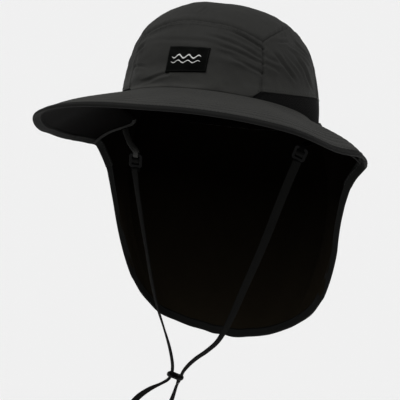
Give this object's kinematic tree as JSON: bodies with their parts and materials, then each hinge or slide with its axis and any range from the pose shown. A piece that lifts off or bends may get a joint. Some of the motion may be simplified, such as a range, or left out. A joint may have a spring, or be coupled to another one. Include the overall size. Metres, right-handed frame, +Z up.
{
  "type": "neck flap sun hat",
  "caption": "Sun hat with a panelled crown, mesh side vents, a wide sloping brim, a long flap that covers the neck, and a flat chin cord with a slider.",
  "frame": {"origin": "middle of the head opening, where a wearer's head fills the hat", "axes": "+Z up, the front of the hat faces -Y, the wearer's left is +X; the crown is tilted back 20 degrees as worn"},
  "size_m": [0.3028, 0.3139, 0.4273],
  "materials": {
    "shell_cloth": "matt charcoal nylon",
    "edge_binding": "matt charcoal tape",
    "vent_mesh": "fine open black net",
    "inner_cloth": "matt near-black cloth",
    "label_cloth": "smooth black woven label",
    "webbing": "flat dark webbing",
    "plastic": "satin black"
  },
  "bodies": {
    "root": {"crown_front_panel": "shell_cloth", "crown_side_panel_left": "shell_cloth", "mesh_vent_left": "vent_mesh", "crown_side_panel_right": "shell_cloth", "mesh_vent_right": "vent_mesh", "crown_back_panel": "shell_cloth", "crown_top_panel": "shell_cloth", "front_label": "label_cloth", "brim": "shell_cloth", "brim_binding": "edge_binding", "rear_seam_tape_left": "edge_binding", "rear_seam_tape_right": "edge_binding", "neck_flap": "inner_cloth", "flap_binding": "edge_binding", "chin_cord": "webbing", "cord_slider": "plastic", "cord_tab_right": "webbing", "cord_buckle_right": "plastic", "cord_tab_left": "webbing", "cord_buckle_left": "plastic"}
  },
  "joints": []
}
